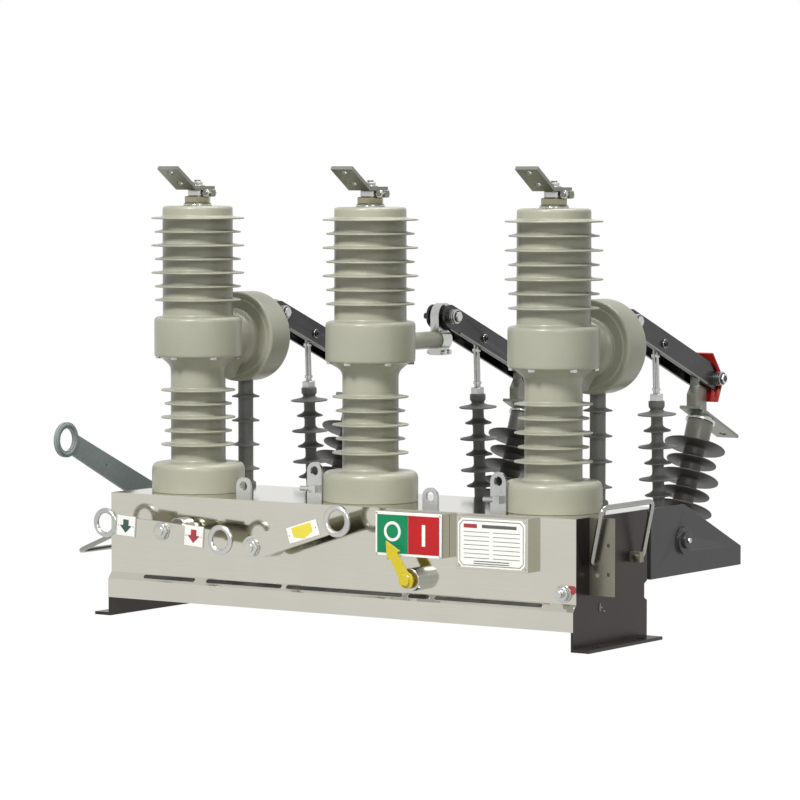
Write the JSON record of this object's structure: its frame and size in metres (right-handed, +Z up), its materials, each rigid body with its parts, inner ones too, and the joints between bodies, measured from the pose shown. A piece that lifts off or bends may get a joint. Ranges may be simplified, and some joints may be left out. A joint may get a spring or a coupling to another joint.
{
  "type": "pole-mounted circuit breaker",
  "caption": "Outdoor pole-mounted breaker: three ribbed pole insulators on a steel housing, with a linked isolating switch, levers and a position pointer.",
  "frame": {"origin": "centre of the four foot holes on the mounting plane, straight below the middle pole's axis", "axes": "+X along the housing to the end with the angle bracket, +Y from the lever panel to the isolating switch, +Z up"},
  "size_m": [1.056, 0.7072, 0.7281],
  "materials": {
    "stainless_sheet": "ground and polished stainless sheet",
    "dark_end_sheet": "dark satin sheet",
    "gusset_sheet": "dark grey satin paint",
    "cast_epoxy": "warm olive-grey cast resin with a soft gloss",
    "silicone_rubber": "mid-grey silicone rubber",
    "dark_rubber": "dark warm grey silicone rubber",
    "plated_steel": "bright zinc-plated steel",
    "tinned_copper": "tinned copper bar",
    "blade_steel": "dull silvered copper plate",
    "red_hood": "red moulded sheet",
    "lever_steel": "grey-green galvanised and painted steel",
    "lever_plate": "polished steel strip with label plates",
    "indicator": "two-colour enamel plate, green and red",
    "yellow_paint": "yellow gloss paint"
  },
  "bodies": {
    "frame": {"housing": "stainless_sheet", "end_plate_left": "dark_end_sheet", "end_plate_right": "dark_end_sheet", "pole_left": "cast_epoxy", "pole_middle": "cast_epoxy", "pole_right": "cast_epoxy", "terminal_left": "tinned_copper", "terminal_middle": "tinned_copper", "terminal_right": "tinned_copper", "transformer_left": "cast_epoxy", "transformer_right": "cast_epoxy", "lead_left": "silicone_rubber", "lead_right": "silicone_rubber", "side_tube": "cast_epoxy", "blade_clamp_left": "plated_steel", "blade_clamp_middle": "plated_steel", "blade_clamp_right": "plated_steel", "gusset_left": "gusset_sheet", "gusset_right": "gusset_sheet", "beam": "gusset_sheet", "post_left": "dark_rubber", "post_middle": "dark_rubber", "post_right": "dark_rubber", "contact_left": "tinned_copper", "contact_middle": "tinned_copper", "contact_right": "tinned_copper", "lifting_lugs": "plated_steel", "indicator_box": "indicator", "nameplate": "stainless_sheet", "ground_stud": "plated_steel", "lever_bosses": "plated_steel", "bail_eyes_left": "plated_steel", "bail_bracket_right": "lever_steel"},
    "isolator_shaft": {"isolator_shaft": "plated_steel", "isolator_lever": "lever_steel"},
    "blade_left": {"blade_left": "blade_steel", "blade_hood_left": "red_hood"},
    "blade_middle": {"blade_middle": "blade_steel", "blade_hood_middle": "red_hood"},
    "blade_right": {"blade_right": "blade_steel", "blade_hood_right": "red_hood"},
    "pull_rod_left": {"pull_rod_left": "silicone_rubber"},
    "pull_rod_middle": {"pull_rod_middle": "silicone_rubber"},
    "pull_rod_right": {"pull_rod_right": "silicone_rubber"},
    "trip_lever": {"trip_lever": "lever_plate"},
    "charging_lever": {"charging_lever": "lever_plate"},
    "pointer": {"pointer": "yellow_paint"},
    "bail_left": {"bail_left": "plated_steel"},
    "bail_right": {"bail_right": "plated_steel"}
  },
  "joints": [
    {"name": "isolator", "type": "hinge", "parent": "frame", "child": "isolator_shaft", "pos_m": [0, 0.221, 0.1435], "axis": [1, 0, 0], "range_deg": [0, 45]},
    {"name": "blade_left_pivot", "type": "hinge", "parent": "frame", "child": "blade_left", "pos_m": [-0.34, 0.204, 0.4855], "axis": [1, 0, 0], "range_deg": [0, 45]},
    {"name": "blade_middle_pivot", "type": "hinge", "parent": "frame", "child": "blade_middle", "pos_m": [0, 0.204, 0.4855], "axis": [1, 0, 0], "range_deg": [0, 45]},
    {"name": "blade_right_pivot", "type": "hinge", "parent": "frame", "child": "blade_right", "pos_m": [0.34, 0.204, 0.4855], "axis": [1, 0, 0], "range_deg": [0, 45]},
    {"name": "pull_rod_left_pivot", "type": "hinge", "parent": "blade_left", "child": "pull_rod_left", "pos_m": [-0.34, 0.30676, 0.44626], "axis": [1, 0, 0], "range_deg": [-45, 0]},
    {"name": "pull_rod_middle_pivot", "type": "hinge", "parent": "blade_middle", "child": "pull_rod_middle", "pos_m": [0, 0.30676, 0.44626], "axis": [1, 0, 0], "range_deg": [-45, 0]},
    {"name": "pull_rod_right_pivot", "type": "hinge", "parent": "blade_right", "child": "pull_rod_right", "pos_m": [0.34, 0.30676, 0.44626], "axis": [1, 0, 0], "range_deg": [-45, 0]},
    {"name": "trip_lever_pivot", "type": "hinge", "parent": "frame", "child": "trip_lever", "pos_m": [-0.298, -0.155, 0.148], "axis": [0, 1, 0], "range_deg": [-12, 12], "stiffness_Nm_per_rad": 5},
    {"name": "charging_lever_pivot", "type": "hinge", "parent": "frame", "child": "charging_lever", "pos_m": [-0.121, -0.155, 0.131], "axis": [0, 1, 0], "range_deg": [0, 45], "stiffness_Nm_per_rad": 6, "springref_deg": -17.19},
    {"name": "pointer_pivot", "type": "hinge", "parent": "frame", "child": "pointer", "pos_m": [0.1585, -0.129, 0.0945], "axis": [0, 1, 0], "range_deg": [0, 64]},
    {"name": "bail_left_hinge", "type": "hinge", "parent": "frame", "child": "bail_left", "pos_m": [-0.452, 0.004, 0.131], "axis": [0, 1, 0], "range_deg": [-50, 100]},
    {"name": "bail_right_hinge", "type": "hinge", "parent": "frame", "child": "bail_right", "pos_m": [0.452, 0.004, 0.131], "axis": [0, 1, 0], "range_deg": [0, 150]}
  ],
  "couplings": [
    {"joint": "blade_left_pivot", "follows": "isolator", "ratio": 1},
    {"joint": "blade_middle_pivot", "follows": "isolator", "ratio": 1},
    {"joint": "blade_right_pivot", "follows": "isolator", "ratio": 1},
    {"joint": "pull_rod_left_pivot", "follows": "isolator", "ratio": -1},
    {"joint": "pull_rod_middle_pivot", "follows": "isolator", "ratio": -1},
    {"joint": "pull_rod_right_pivot", "follows": "isolator", "ratio": -1}
  ]
}
